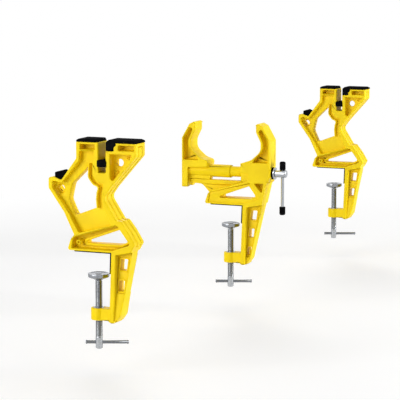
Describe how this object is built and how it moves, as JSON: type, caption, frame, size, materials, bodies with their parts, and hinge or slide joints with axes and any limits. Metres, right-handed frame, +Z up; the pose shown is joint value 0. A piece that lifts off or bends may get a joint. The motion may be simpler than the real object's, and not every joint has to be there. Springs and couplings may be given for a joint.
{
  "type": "ski tuning vise",
  "caption": "Bench clamped centre vise with two end supports that hold a ski flat or on edge for tuning.",
  "frame": {"origin": "where the centre vise's clamp screw axis meets the bench top", "axes": "+X away from the bench, +Y along the bench edge from the front to the rear support, +Z up"},
  "size_m": [0.2075, 1.2543, 0.344],
  "materials": {
    "yellow_plastic": "moulded, satin",
    "black_rubber": "moulded, matt",
    "zinc_steel": "zinc plated",
    "chrome_steel": "bright plated"
  },
  "bodies": {
    "vise": {"vise_frame": "yellow_plastic", "vise_bench_lining": "black_rubber", "vise_thread_insert": "zinc_steel"},
    "front_support": {"front_support_frame": "yellow_plastic", "front_bench_side_pad": "black_rubber", "front_l_shaped_pad": "black_rubber", "front_slot_bumper": "black_rubber", "front_notch_block": "black_rubber", "front_bench_lining": "black_rubber", "front_thread_insert": "zinc_steel"},
    "rear_support": {"rear_support_frame": "yellow_plastic", "rear_bench_side_pad": "black_rubber", "rear_l_shaped_pad": "black_rubber", "rear_slot_bumper": "black_rubber", "rear_notch_block": "black_rubber", "rear_bench_lining": "black_rubber", "rear_thread_insert": "zinc_steel"},
    "front_pad": {"front_swivel_pad": "zinc_steel"},
    "front_screw": {"front_clamp_screw": "zinc_steel"},
    "front_bar": {"front_sliding_bar": "zinc_steel"},
    "rear_pad": {"rear_swivel_pad": "zinc_steel"},
    "rear_screw": {"rear_clamp_screw": "zinc_steel"},
    "rear_bar": {"rear_sliding_bar": "zinc_steel"},
    "vise_pad": {"vise_swivel_pad": "zinc_steel"},
    "vise_screw": {"vise_clamp_screw": "zinc_steel"},
    "vise_bar": {"vise_sliding_bar": "zinc_steel"},
    "jaw": {"moving_jaw": "yellow_plastic", "jaw_nut": "zinc_steel"},
    "spindle": {"spindle": "chrome_steel", "thrust_collar": "black_rubber", "retaining_ring": "zinc_steel"},
    "spindle_handle": {"spindle_bar": "chrome_steel", "upper_bar_cap": "black_rubber", "lower_bar_cap": "black_rubber"}
  },
  "joints": [
    {"name": "front_support_slide", "type": "slide", "parent": "vise", "child": "front_support", "axis": [0, 1, 0], "range_m": [-0.15, 0.2]},
    {"name": "rear_support_slide", "type": "slide", "parent": "vise", "child": "rear_support", "axis": [0, 1, 0], "range_m": [-0.2, 0.15]},
    {"name": "front_pad_slide", "type": "slide", "parent": "front_support", "child": "front_pad", "axis": [0, 0, 1], "range_m": [-0.042, 0.0266]},
    {"name": "front_screw_turn", "type": "hinge", "parent": "front_pad", "child": "front_screw", "pos_m": [0, -0.58, -0.05], "axis": [0, 0, 1], "range_deg": [-8640, 5472]},
    {"name": "front_bar_slide", "type": "slide", "parent": "front_screw", "child": "front_bar", "axis": [0.9239, 0.3827, 0], "range_m": [-0.0395, 0.0135]},
    {"name": "rear_pad_slide", "type": "slide", "parent": "rear_support", "child": "rear_pad", "axis": [0, 0, 1], "range_m": [-0.042, 0.0266]},
    {"name": "rear_screw_turn", "type": "hinge", "parent": "rear_pad", "child": "rear_screw", "pos_m": [0, 0.632, -0.05], "axis": [0, 0, 1], "range_deg": [-8640, 5472]},
    {"name": "rear_bar_slide", "type": "slide", "parent": "rear_screw", "child": "rear_bar", "axis": [0.9239, 0.3827, 0], "range_m": [-0.0405, 0.0125]},
    {"name": "vise_pad_slide", "type": "slide", "parent": "vise", "child": "vise_pad", "axis": [0, 0, 1], "range_m": [-0.042, 0.0266]},
    {"name": "vise_screw_turn", "type": "hinge", "parent": "vise_pad", "child": "vise_screw", "pos_m": [0, 0, -0.05], "axis": [0, 0, 1], "range_deg": [-8640, 5472]},
    {"name": "vise_bar_slide", "type": "slide", "parent": "vise_screw", "child": "vise_bar", "axis": [0.9239, 0.3827, 0], "range_m": [-0.0325, 0.0205]},
    {"name": "spindle_turn", "type": "hinge", "parent": "vise", "child": "spindle", "pos_m": [0.085, 0, 0.0635], "axis": [-1, 0, 0], "range_deg": [0, 5760]},
    {"name": "jaw_slide", "type": "slide", "parent": "vise", "child": "jaw", "axis": [1, 0, 0], "range_m": [0, 0.048]},
    {"name": "spindle_bar_slide", "type": "slide", "parent": "spindle", "child": "spindle_handle", "axis": [0, 0, 1], "range_m": [0, 0.054]}
  ],
  "couplings": [
    {"joint": "front_screw_turn", "follows": "front_pad_slide", "rad_per_m": 3590.4},
    {"joint": "rear_screw_turn", "follows": "rear_pad_slide", "rad_per_m": 3590.4},
    {"joint": "vise_screw_turn", "follows": "vise_pad_slide", "rad_per_m": 3590.4},
    {"joint": "spindle_turn", "follows": "jaw_slide", "rad_per_m": 2094.4}
  ]
}
